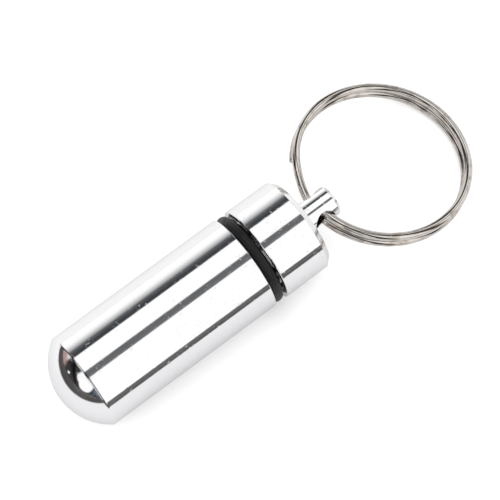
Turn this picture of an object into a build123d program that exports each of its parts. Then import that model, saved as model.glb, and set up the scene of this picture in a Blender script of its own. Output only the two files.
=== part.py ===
from build123d import *
import os
from math import asin, atan2, cos, hypot, radians, sin, tan

# A screw-top pill capsule on a split key ring, lying on its side.
#
# Four separate pieces: the tube, the cap, the O-ring between them and the split ring.
# +X runs along the capsule from its domed end to the key ring, and +Z is up.
# The origin is on the surface the capsule lies on, under the middle of the whole object.
# All lengths are in millimetres. A "station" is a distance along the capsule from the edge of the dome.

os.makedirs("parts", exist_ok=True)

# ---------------------------------------------------------------- driving dimensions
body_diameter = 14.0
body_length = 26.8  # straight outside of the tube, dome edge to shoulder
dome_height = 3.8
dome_edge_radius = 0.5  # softened corner between the dome and the straight part
shoulder_edge = 0.12

o_ring_section = 1.65
o_ring_fit = 0.03  # the O-ring lies on its seat and shoulder with this much room
o_ring_sunk = 0.2  # how far the O-ring stays under the body's outside
rim_gap = 0.2  # free space between the O-ring and the cap's rim

neck_wall = 0.55
bore_past_dome_edge = 1.0
bore_corner_radius = 1.5

thread_pitch = 1.0
thread_angle = 30  # slope of each flank, in degrees from square to the axis
thread_step = 0.25  # thread floor above the O-ring's seat
thread_crown_room = 0.13  # between the neck's crests and the cap's thread floor
thread_bore_room = 0.10  # between the neck's thread floor and the cap's crests
thread_flank_room = 0.08  # along the axis, on each flank
thread_runout = 0.07  # reliefs and lead-in chamfers go this much deeper than the thread
thread_start = 37  # degrees round the axis to where both grooves start, clear of the turned faces' seam
mouth_overcut = 0.1  # how far the grooves' mouths reach past the crests

cap_step = 0.05  # the cap's radius is this much less than the body's
cap_length = 6.8  # straight outside of the cap, from its rim
cap_chamfer = 0.8
cap_rim_edge = 0.1
cap_end_wall = 1.4
cap_room_over_neck = 0.7
cap_relief_length = 1.0  # unthreaded stretch at the blind end of the cap

stem_diameter = 4.4
stem_length = 5.35
stem_end_chamfer = 0.4
stem_root_radius = 0.3
stem_hole_diameter = 3.2
stem_hole_from_cap = 2.7  # centre of the cross hole, from the cap's end face
stem_hole_edge = 0.15

ring_outer_diameter = 24.9
wire_diameter = 1.15
coil_gap = 0.05  # between the two turns of the split ring
wire_end_radius = 0.15
ring_turned_aside = 4.3  # degrees, in the ring's own plane
slid_out_share = 0.8  # how far the ring is slid out of the hole, as a share of its room in the hole
dropped_share = 0.25  # how far it has dropped in the hole, as a share of the same room
turns_apart = 0.25  # the lower turn lies this much nearer the stem than the upper
crossing_start = 142  # degrees round the ring from its far side; the stem's hole is at 180
crossing_length = 42  # degrees over which the wire drops from the upper turn to the lower
turn_end_room = 3  # degrees between a wire end and the crossing beside it

# ---------------------------------------------------------------- derived sizes
body_radius = body_diameter / 2
dome_radius = (body_radius**2 + dome_height**2) / (2 * dome_height)
seat_radius = body_radius - o_ring_sunk - o_ring_section
bore_radius = seat_radius - neck_wall
rim_station = body_length + o_ring_section + 2 * o_ring_fit + rim_gap

cap_radius = body_radius - cap_step
cap_end_station = rim_station + cap_length + cap_chamfer
cap_ceiling_station = cap_end_station - cap_end_wall
neck_end_station = cap_ceiling_station - cap_room_over_neck
cap_relief_station = cap_ceiling_station - cap_relief_length

thread_depth = 0.5 * thread_pitch
thread_crest_flat = thread_pitch / 8
lead_in = thread_depth + thread_runout
flank_slope = tan(radians(thread_angle))
neck_floor_radius = seat_radius + thread_step
neck_crest_radius = neck_floor_radius + thread_depth
cap_floor_radius = neck_crest_radius + thread_crown_room
cap_crest_radius = neck_floor_radius + thread_bore_room
cap_relief_radius = cap_floor_radius + thread_runout
thread_station = rim_station + 0.25 * thread_pitch

stem_radius = stem_diameter / 2
stem_end_station = cap_end_station + stem_length
hole_station = cap_end_station + stem_hole_from_cap

wire_radius = wire_diameter / 2
ring_mean_radius = ring_outer_diameter / 2 - wire_radius
half_coil_pitch = (wire_diameter + coil_gap) / 2
room_in_hole = (stem_hole_diameter - coil_gap) / 2 - wire_diameter  # round both turns of the wire
ring_middle_to_hole = ring_mean_radius + slid_out_share * room_in_hole
ring_under_hole = dropped_share * room_in_hole

# The ring hangs out of the hole and its far side rests on the surface:
# reach * sin(tilt) + drop * cos(tilt) = body_radius - wire_radius.
ring_reach = ring_middle_to_hole * cos(radians(ring_turned_aside)) + ring_mean_radius - turns_apart
ring_drop = ring_under_hole + half_coil_pitch
ring_tilt = asin((body_radius - wire_radius) / hypot(ring_reach, ring_drop)) - atan2(ring_drop, ring_reach)

# ---------------------------------------------------------------- where things are in the frame
ring_middle_out = ring_middle_to_hole * cos(radians(ring_turned_aside))
ring_middle_aside = ring_middle_to_hole * sin(radians(ring_turned_aside))
ring_middle_station = hole_station + ring_middle_out * cos(ring_tilt) - ring_under_hole * sin(ring_tilt)
ring_far_station = ring_middle_station + ring_mean_radius * cos(ring_tilt)
ring_far_station += half_coil_pitch * sin(ring_tilt) + wire_radius

origin_station = (ring_far_station - dome_height) / 2
axis_y = -ring_middle_aside
axis_z = body_radius


def on_axis(station):
    """The point on the capsule's axis at a station."""
    return Vector(station - origin_station, axis_y, axis_z)


# Profiles are drawn with x as the station and y as the radius, then turned about the capsule's axis.
profile_plane = Plane(origin=on_axis(0), x_dir=(1, 0, 0), z_dir=(0, -1, 0))
capsule_axis = Axis(origin=on_axis(0), direction=(1, 0, 0))
hole_plane = Plane(origin=on_axis(hole_station), x_dir=(1, 0, 0), z_dir=(0, 1, 0))


# The ring's own plane: its x runs from the stem's hole to the ring's middle, and beyond to the far side.
ring_slope = Vector(cos(ring_tilt), 0, -sin(ring_tilt))
ring_normal = Vector(sin(ring_tilt), 0, cos(ring_tilt))
ring_middle = on_axis(hole_station) + ring_slope * ring_middle_out - ring_normal * ring_under_hole
ring_middle += Vector(0, ring_middle_aside, 0)
ring_out = ring_slope * cos(radians(ring_turned_aside)) + Vector(0, sin(radians(ring_turned_aside)), 0)
ring_plane = Plane(origin=ring_middle, x_dir=ring_out, z_dir=ring_normal)


def round_the_ring(angle, height):
    """A point of the crossing's centre line, at an angle round the ring and a height over its middle."""
    x = ring_mean_radius * cos(radians(angle)) - turns_apart / 2
    return (x, ring_mean_radius * sin(radians(angle)), height)


def thread_groove(first_station, last_station, floor_radius, floor_width, mouth_radius, mouth_width):
    """A right-hand helical groove about the capsule's axis, as a solid to cut away."""
    middle_radius = (floor_radius + mouth_radius) / 2
    with BuildPart() as groove:
        with BuildLine() as course:
            length = last_station - first_station
            Helix(thread_pitch, length, middle_radius, on_axis(first_station), (1, 0, 0))
        start = course.line @ 0
        outward = start - on_axis(first_station)
        section_plane = Plane(origin=start, x_dir=(1, 0, 0), z_dir=Vector(1, 0, 0).cross(outward))
        with BuildSketch(section_plane) as section:
            with BuildLine():
                Polyline(
                    (-floor_width / 2, floor_radius - middle_radius),
                    (floor_width / 2, floor_radius - middle_radius),
                    (mouth_width / 2, mouth_radius - middle_radius),
                    (-mouth_width / 2, mouth_radius - middle_radius),
                    close=True,
                )
            make_face()
        sweep(section.sketch, path=course.line, is_frenet=True)
    return groove.part.rotate(capsule_axis, thread_start)


def corner_at(profile, station, radius):
    """The corner of a profile nearest to a station and a radius."""
    return profile.vertices().sort_by_distance((station, radius))[0]


def ridge_width(radius):
    """Width of the neck's thread ridge along the axis, at a radius."""
    return thread_crest_flat + 2 * (neck_crest_radius - radius) * flank_slope


# ---------------------------------------------------------------- tube
# The neck's thread is what stays between the turns of a groove. The groove starts in the open space
# over the O-ring's seat and runs out past the neck's end.
neck_mouth_radius = neck_crest_radius + mouth_overcut
neck_groove_start = rim_station - 0.3 * thread_pitch
neck_groove = thread_groove(
    first_station=neck_groove_start,
    last_station=neck_end_station + 0.6 * thread_pitch,
    floor_radius=neck_floor_radius,
    floor_width=thread_pitch - ridge_width(neck_floor_radius),
    mouth_radius=neck_mouth_radius,
    mouth_width=thread_pitch - ridge_width(neck_mouth_radius),
)

with BuildPart() as tube:
    with BuildSketch(profile_plane) as tube_profile:
        with BuildLine():
            dome_back = (-dome_height, 0)
            dome_edge = (0, body_radius)
            RadiusArc(dome_back, dome_edge, dome_radius)
            Polyline(
                dome_edge,
                (body_length, body_radius),
                (body_length, seat_radius),
                (thread_station, seat_radius),
                (thread_station, neck_crest_radius),
                (neck_end_station, neck_crest_radius),
                (neck_end_station, bore_radius),
                (-bore_past_dome_edge, bore_radius),
                (-bore_past_dome_edge, 0),
                dome_back,
            )
        make_face()
        fillet(corner_at(tube_profile, 0, body_radius), dome_edge_radius)
        fillet(corner_at(tube_profile, -bore_past_dome_edge, bore_radius), bore_corner_radius)
        chamfer(corner_at(tube_profile, neck_end_station, neck_crest_radius), lead_in)
        chamfer(corner_at(tube_profile, body_length, body_radius), shoulder_edge)
    revolve(axis=capsule_axis)
    add(neck_groove, mode=Mode.SUBTRACT)
tube.part.label = "tube"
export_step(tube.part, "parts/tube.step")

# ---------------------------------------------------------------- cap
# The cap's groove is half a pitch behind the neck's, so each ridge stands in the middle of a groove.
cap_mouth_radius = cap_crest_radius - mouth_overcut
cap_groove = thread_groove(
    first_station=neck_groove_start - 0.5 * thread_pitch,
    last_station=cap_relief_station + 0.5 * thread_pitch,
    floor_radius=cap_floor_radius,
    floor_width=ridge_width(cap_floor_radius) + 2 * thread_flank_room,
    mouth_radius=cap_mouth_radius,
    mouth_width=ridge_width(cap_mouth_radius) + 2 * thread_flank_room,
)

with BuildPart() as cap:
    with BuildSketch(profile_plane) as cap_profile:
        with BuildLine():
            Polyline(
                (rim_station, cap_crest_radius),
                (rim_station, cap_radius),
                (cap_end_station, cap_radius),
                (cap_end_station, stem_radius),
                (stem_end_station, stem_radius),
                (stem_end_station, 0),
                (cap_ceiling_station, 0),
                (cap_ceiling_station, cap_relief_radius),
                (cap_relief_station, cap_relief_radius),
                (cap_relief_station, cap_crest_radius),
                close=True,
            )
        make_face()
        chamfer(corner_at(cap_profile, cap_end_station, cap_radius), cap_chamfer)
        chamfer(corner_at(cap_profile, rim_station, cap_radius), cap_rim_edge)
        chamfer(corner_at(cap_profile, rim_station, cap_crest_radius), lead_in)
        chamfer(corner_at(cap_profile, stem_end_station, stem_radius), stem_end_chamfer)
        fillet(corner_at(cap_profile, cap_end_station, stem_radius), stem_root_radius)
    revolve(axis=capsule_axis)
    add(cap_groove, mode=Mode.SUBTRACT)
    with BuildSketch(hole_plane):
        Circle(stem_hole_diameter / 2)
    extrude(amount=body_radius, both=True, mode=Mode.SUBTRACT)
    hole_mouths = cap.edges(Select.LAST).filter_by(GeomType.BSPLINE)
    chamfer(hole_mouths, stem_hole_edge)
cap.part.label = "cap"
export_step(cap.part, "parts/cap.step")

# ---------------------------------------------------------------- O-ring
with BuildPart() as o_ring:
    with BuildSketch(profile_plane):
        o_ring_station = body_length + o_ring_fit + o_ring_section / 2
        with Locations((o_ring_station, seat_radius + o_ring_fit + o_ring_section / 2)):
            Circle(o_ring_section / 2)
    revolve(axis=capsule_axis)
o_ring.part.label = "o_ring"
export_step(o_ring.part, "parts/o_ring.step")

# ---------------------------------------------------------------- split ring
# One wire of nearly two turns. It runs round the upper turn, drops past the lower turn's wire end,
# and runs round the lower turn. The crossing passes through the stem's hole.
crossing_end = crossing_start + crossing_length
upper_turn_start = crossing_end + turn_end_room - 360
turn_length = crossing_start - upper_turn_start

with BuildPart() as split_ring:
    with BuildLine(ring_plane) as wire_course:
        upper_middle = (0, 0, half_coil_pitch)
        lower_middle = (-turns_apart, 0, -half_coil_pitch)
        upper_turn = CenterArc(upper_middle, ring_mean_radius, upper_turn_start, turn_length)
        lower_turn = CenterArc(lower_middle, ring_mean_radius, crossing_end, turn_length)
        Spline(
            upper_turn @ 1,
            round_the_ring(crossing_start + crossing_length / 2, 0),
            lower_turn @ 0,
            tangents=[upper_turn % 1, lower_turn % 0],
        )
    with BuildSketch(Plane(origin=upper_turn @ 0, z_dir=upper_turn % 0)):
        Circle(wire_radius)
    sweep(path=wire_course.line)
    wire_ends = split_ring.faces().filter_by(GeomType.PLANE)
    fillet(wire_ends.edges(), wire_end_radius)
split_ring.part.label = "split_ring"
export_step(split_ring.part, "parts/split_ring.step")
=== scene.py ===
import bpy
import math
from mathutils import Matrix, Vector

# A polished pill capsule on a split key ring, lying on a white table. Everything is in metres.
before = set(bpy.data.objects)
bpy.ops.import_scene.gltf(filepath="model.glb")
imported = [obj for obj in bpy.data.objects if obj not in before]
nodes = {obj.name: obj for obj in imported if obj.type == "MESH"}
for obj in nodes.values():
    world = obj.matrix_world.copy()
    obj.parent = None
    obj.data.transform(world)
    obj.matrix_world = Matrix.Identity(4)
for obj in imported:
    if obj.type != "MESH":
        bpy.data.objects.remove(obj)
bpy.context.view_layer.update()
MM = 0.001
WHITE = (1, 1, 1, 1)


# ---------------------------------------------------------------- camera
def place_camera():
    """A long lens looking steeply down on the capsule, as in a product picture."""
    look_at = Vector((-1.1 * MM, 0.1 * MM, 7.0 * MM))
    distance = 401 * MM
    azimuth = math.radians(-29.9)
    elevation = math.radians(68.37)
    roll = math.radians(-8.15)
    backward = Vector((
        math.sin(azimuth) * math.cos(elevation),
        -math.cos(azimuth) * math.cos(elevation),
        math.sin(elevation),
    ))
    level = Vector((0, 0, 1)).cross(backward).normalized()
    upright = backward.cross(level)
    right = level * math.cos(roll) + upright * math.sin(roll)
    up = backward.cross(right)
    camera = bpy.data.objects.new("camera", bpy.data.cameras.new("camera"))
    camera.data.sensor_width = 36
    camera.data.lens = 216
    camera.data.clip_start = 0.01
    camera.data.clip_end = 20
    bpy.context.scene.collection.objects.link(camera)
    turn = Matrix((right, up, backward)).transposed().to_4x4()
    camera.matrix_world = Matrix.Translation(look_at + backward * distance) @ turn
    bpy.context.scene.camera = camera


# ---------------------------------------------------------------- node helpers
class Net:
    """A node tree with short ways to add and join nodes."""

    def __init__(self, tree):
        self.tree = tree
        tree.nodes.clear()

    def add(self, kind, **settings):
        node = self.tree.nodes.new("ShaderNode" + kind)
        for name, value in settings.items():
            setattr(node, name, value)
        return node

    def put(self, socket, value):
        if isinstance(value, bpy.types.NodeSocket):
            self.tree.links.new(value, socket)
        else:
            socket.default_value = value

    def math(self, operation, first, second=0.0, clamp=False):
        node = self.add("Math", operation=operation, use_clamp=clamp)
        self.put(node.inputs[0], first)
        self.put(node.inputs[1], second)
        return node.outputs[0]

    def stretch(self, value, low, high, to_low=0.0, to_high=1.0):
        """Rises smoothly from to_low to to_high while the value goes from low to high."""
        node = self.add("MapRange", interpolation_type="SMOOTHSTEP")
        self.put(node.inputs["Value"], value)
        for name, number in (("From Min", low), ("From Max", high), ("To Min", to_low), ("To Max", to_high)):
            self.put(node.inputs[name], number)
        return node.outputs[0]

    def mix(self, part, first, second):
        node = self.add("Mix", data_type="RGBA")
        self.put(node.inputs[0], part)
        self.put(node.inputs[6], first)
        self.put(node.inputs[7], second)
        return node.outputs[2]

    def times(self, first, second):
        node = self.add("Mix", data_type="RGBA", blend_type="MULTIPLY")
        self.put(node.inputs[0], 1.0)
        self.put(node.inputs[6], first)
        self.put(node.inputs[7], second)
        return node.outputs[2]

    def ramp(self, value, low, high, stops):
        """A colour ramp over low..high, with each stop given as (value, colour)."""
        node = self.add("ValToRGB")
        span = self.math("DIVIDE", self.math("SUBTRACT", value, low), high - low)
        self.put(node.inputs[0], span)
        elements = node.color_ramp.elements
        while len(elements) > 1:
            elements.remove(elements[-1])
        for k, (place, colour) in enumerate(stops):
            part = (place - low) / (high - low)
            stop = elements[0] if k == 0 else elements.new(part)
            stop.position = part
            stop.color = (*colour, 1)
        return node.outputs[0]

    def noise(self, scale, stretch=(1, 1, 1), detail=2.0, rough=0.5):
        """Noise fixed to the piece. The scale counts waves to the metre."""
        coords = self.add("TexCoord").outputs["Object"]
        mapping = self.add("Mapping")
        self.put(mapping.inputs["Vector"], coords)
        self.put(mapping.inputs["Scale"], stretch)
        node = self.add("TexNoise")
        self.put(node.inputs["Vector"], mapping.outputs[0])
        self.put(node.inputs["Scale"], scale)
        self.put(node.inputs["Detail"], detail)
        self.put(node.inputs["Roughness"], rough)
        return node.outputs[0]

    def bump(self, height, distance, strength=1.0, normal=None):
        node = self.add("Bump")
        self.put(node.inputs["Height"], height)
        self.put(node.inputs["Distance"], distance)
        self.put(node.inputs["Strength"], strength)
        if normal:
            self.put(node.inputs["Normal"], normal)
        return node.outputs[0]


def new_material(name):
    material = bpy.data.materials.new(name)
    material.use_nodes = True
    net = Net(material.node_tree)
    out = net.add("OutputMaterial")
    shader = net.add("BsdfPrincipled")
    net.put(out.inputs["Surface"], shader.outputs[0])
    return material, net, shader


def grey(value, warm=0.0):
    """A grey for a colour ramp. A positive warm leans it to red, a negative one to blue."""
    return (value * (1 + warm), value, value * (1 - warm))


# ---------------------------------------------------------------- studio
def make_world():
    """White light all round. Shiny pieces see the same room with dark gaps between its soft lights."""
    world = bpy.data.worlds.new("studio")
    world.use_nodes = True
    bpy.context.scene.world = world
    net = Net(world.node_tree)
    out = net.add("OutputWorld")
    split = net.add("SeparateXYZ")
    net.put(split.inputs[0], net.add("TexCoord").outputs["Generated"])
    along, across, upward = split.outputs
    turn = net.math("MULTIPLY", net.math("ARCTAN2", across, upward), 180 / math.pi)
    # Degrees round the capsule's axis, from straight up towards +Y. One gap has two sharp edges, and
    # the other has one sharp edge and one that fades out.
    bands = net.ramp(turn, -180, 180, [
        (-180, grey(1.0)), (-21, grey(1.0)),
        (-19, grey(0.14, -0.02)), (-5, grey(0.12, -0.02)),
        (-3.5, grey(1.0)), (34.5, grey(1.0)),
        (36, grey(0.045, -0.08)), (43, grey(0.05, -0.08)), (51, grey(0.11, -0.06)),
        (57, grey(0.45)), (68, grey(0.9)), (74, grey(1.0)), (180, grey(1.0)),
    ])
    # How far a direction leans along X. The room is dark at its -X end and has a gap to each side.
    ends = net.ramp(along, -1, 1, [
        (-1, grey(0.045, 0.05)), (-0.80, grey(0.035, 0.05)), (-0.76, grey(0.9)), (-0.61, grey(0.95)),
        (-0.57, grey(0.05)), (-0.28, grey(0.05)), (-0.2, grey(1.0)), (0.34, grey(1.0)),
        (0.42, grey(0.06, 0.12)), (0.58, grey(0.08, 0.15)), (0.64, grey(0.9)), (1, grey(1.0)),
    ])
    room = net.times(bands, ends)
    # Things in the dark end of the room: degrees round from -X towards +Y, degrees up, inner and
    # outer radius in degrees, and colour. Two lamps, a warm wall, a small lamp and a cool wall.
    for aside, above, inner, outer, colour in (
        (-2, 20, 8, 11, WHITE),
        (-12, 12, 10, 13, WHITE),
        (45, 0, 5, 16, (0.42, 0.27, 0.24, 1)),
        (22, 4, 1.2, 2.2, WHITE),
        (-35, 10, 4, 11, (0.15, 0.20, 0.25, 1)),
    ):
        aside, above = math.radians(aside), math.radians(above)
        flat = math.cos(above)
        dot = net.add("VectorMath", operation="DOT_PRODUCT")
        net.put(dot.inputs[0], net.add("TexCoord").outputs["Generated"])
        net.put(dot.inputs[1], (-math.cos(aside) * flat, math.sin(aside) * flat, math.sin(above)))
        inside = net.stretch(
            dot.outputs["Value"], math.cos(math.radians(outer)), math.cos(math.radians(inner)),
        )
        room = net.mix(inside, room, colour)
    plain = net.add("Background")
    net.put(plain.inputs["Color"], WHITE)
    net.put(plain.inputs["Strength"], 1.6)
    seen = net.add("Background")
    net.put(seen.inputs["Color"], room)
    net.put(seen.inputs["Strength"], 1.06)
    both = net.add("MixShader")
    net.put(both.inputs[0], net.add("LightPath").outputs["Is Glossy Ray"])
    net.put(both.inputs[1], plain.outputs[0])
    net.put(both.inputs[2], seen.outputs[0])
    net.put(out.inputs["Surface"], both.outputs[0])


def make_floor():
    """A pale table, evenly 0.95 to the camera and to diffuse light. Painted reflection: to glossy rays only
    it is painted grey, and near-black past y -46 mm and x -62 mm, though the table runs on for 3 m, so shiny
    pieces reflect a dark room at its near and left ends.
    """
    half = 3.0
    mesh = bpy.data.meshes.new("floor")
    corners = [(-half, -half, 0), (half, -half, 0), (half, half, 0), (-half, half, 0)]
    mesh.from_pydata(corners, [], [(0, 1, 2, 3)])
    floor = bpy.data.objects.new("floor", mesh)
    bpy.context.scene.collection.objects.link(floor)
    material, net, shader = new_material("white_table")
    split = net.add("SeparateXYZ")
    net.put(split.inputs[0], net.add("NewGeometry").outputs["Position"])
    along, across = split.outputs[0], split.outputs[1]
    # Painted reflection: masks for the near-black patches that glossy rays see past y -46 mm and x -62 mm,
    # and a painted grey that brightens a little towards +Y.
    painted_dark_near = net.stretch(across, -45 * MM, -48 * MM)
    painted_dark_left = net.stretch(along, -62 * MM, -72 * MM)
    painted_dark_mask = net.math("MAXIMUM", painted_dark_near, painted_dark_left)
    far_side = net.stretch(across, 8 * MM, 30 * MM)
    painted_grey_reflection = net.mix(far_side, (0.57, 0.57, 0.575, 1), (0.62, 0.62, 0.62, 1))
    painted_reflection_colour = net.mix(painted_dark_mask, painted_grey_reflection, (0.045, 0.041, 0.040, 1))
    shiny = net.add("LightPath").outputs["Is Glossy Ray"]
    # Painted reflection: glossy rays take the painted grey and black, all other rays the plain pale 0.95.
    net.put(shader.inputs["Base Color"], net.mix(shiny, (0.95, 0.95, 0.95, 1), painted_reflection_colour))
    net.put(shader.inputs["Roughness"], 0.6)
    net.put(shader.inputs["Specular IOR Level"], 0.1)
    mesh.materials.append(material)


# ---------------------------------------------------------------- materials
def polished_aluminium():
    """Turned and polished metal with specks, fine scratches, turning marks and softened edges."""
    material, net, shader = new_material("polished_aluminium")
    specks = net.stretch(net.noise(4200, (0.6, 1, 1), detail=3.0), 0.62, 0.69)
    where = net.stretch(net.noise(420), 0.40, 0.60)
    specks = net.math("MULTIPLY", specks, where)
    hairlines = net.stretch(net.noise(500, (1, 22, 22), detail=3.0), 0.60, 0.70)
    turning = net.noise(9000, (1, 0.02, 0.02))
    haze = net.stretch(net.noise(260, detail=3.0), 0.35, 0.75)
    rough = net.math("ADD", net.math("MULTIPLY", haze, 0.035), 0.03)
    rough = net.math("ADD", rough, net.math("MULTIPLY", specks, 0.3))
    rough = net.math("ADD", rough, net.math("MULTIPLY", hairlines, 0.12))
    bevel = net.add("Bevel", samples=6)
    net.put(bevel.inputs["Radius"], 0.10 * MM)
    normal = net.bump(turning, 0.0004 * MM, 0.5, bevel.outputs[0])
    normal = net.bump(specks, 0.003 * MM, 0.5, normal)
    net.put(shader.inputs["Base Color"], net.mix(specks, (0.95, 0.95, 0.96, 1), (0.88, 0.88, 0.90, 1)))
    net.put(shader.inputs["Metallic"], 1.0)
    net.put(shader.inputs["Roughness"], rough)
    net.put(shader.inputs["Normal"], normal)
    return material


def black_rubber():
    """Satin black rubber with a little dust on it."""
    material, net, shader = new_material("black_rubber")
    dust = net.stretch(net.noise(6500, detail=3.0), 0.70, 0.76)
    grain = net.noise(14000)
    net.put(shader.inputs["Base Color"], net.mix(dust, (0.006, 0.006, 0.007, 1), (0.11, 0.11, 0.11, 1)))
    net.put(shader.inputs["Roughness"], net.stretch(net.noise(1500), 0.3, 0.7, 0.34, 0.5))
    net.put(shader.inputs["Specular IOR Level"], 0.3)
    net.put(shader.inputs["Normal"], net.bump(grain, 0.004 * MM, 0.4))
    return material


def nickel_steel():
    """Bright nickel plate, worn browner in places."""
    material, net, shader = new_material("nickel_steel")
    worn = net.stretch(net.noise(700, detail=4.0), 0.45, 0.7)
    specks = net.stretch(net.noise(5000, detail=2.0), 0.66, 0.74)
    rough = net.math("ADD", net.math("MULTIPLY", worn, 0.06), 0.04)
    rough = net.math("ADD", rough, net.math("MULTIPLY", specks, 0.2))
    net.put(shader.inputs["Base Color"], net.mix(worn, (0.72, 0.68, 0.64, 1), (0.50, 0.44, 0.39, 1)))
    net.put(shader.inputs["Metallic"], 1.0)
    net.put(shader.inputs["Roughness"], rough)
    net.put(shader.inputs["Normal"], net.bump(net.noise(2500), 0.004 * MM, 0.4))
    return material


def finish_node(name, material):
    """Puts a material on every slot of a node."""
    for slot in nodes[name].material_slots:
        slot.material = material


place_camera()
make_world()
bpy.context.scene.view_settings.view_transform = "Standard"
make_floor()
aluminium = polished_aluminium()
finish_node("tube", aluminium)
finish_node("cap", aluminium)
finish_node("o_ring", black_rubber())
finish_node("split_ring", nickel_steel())
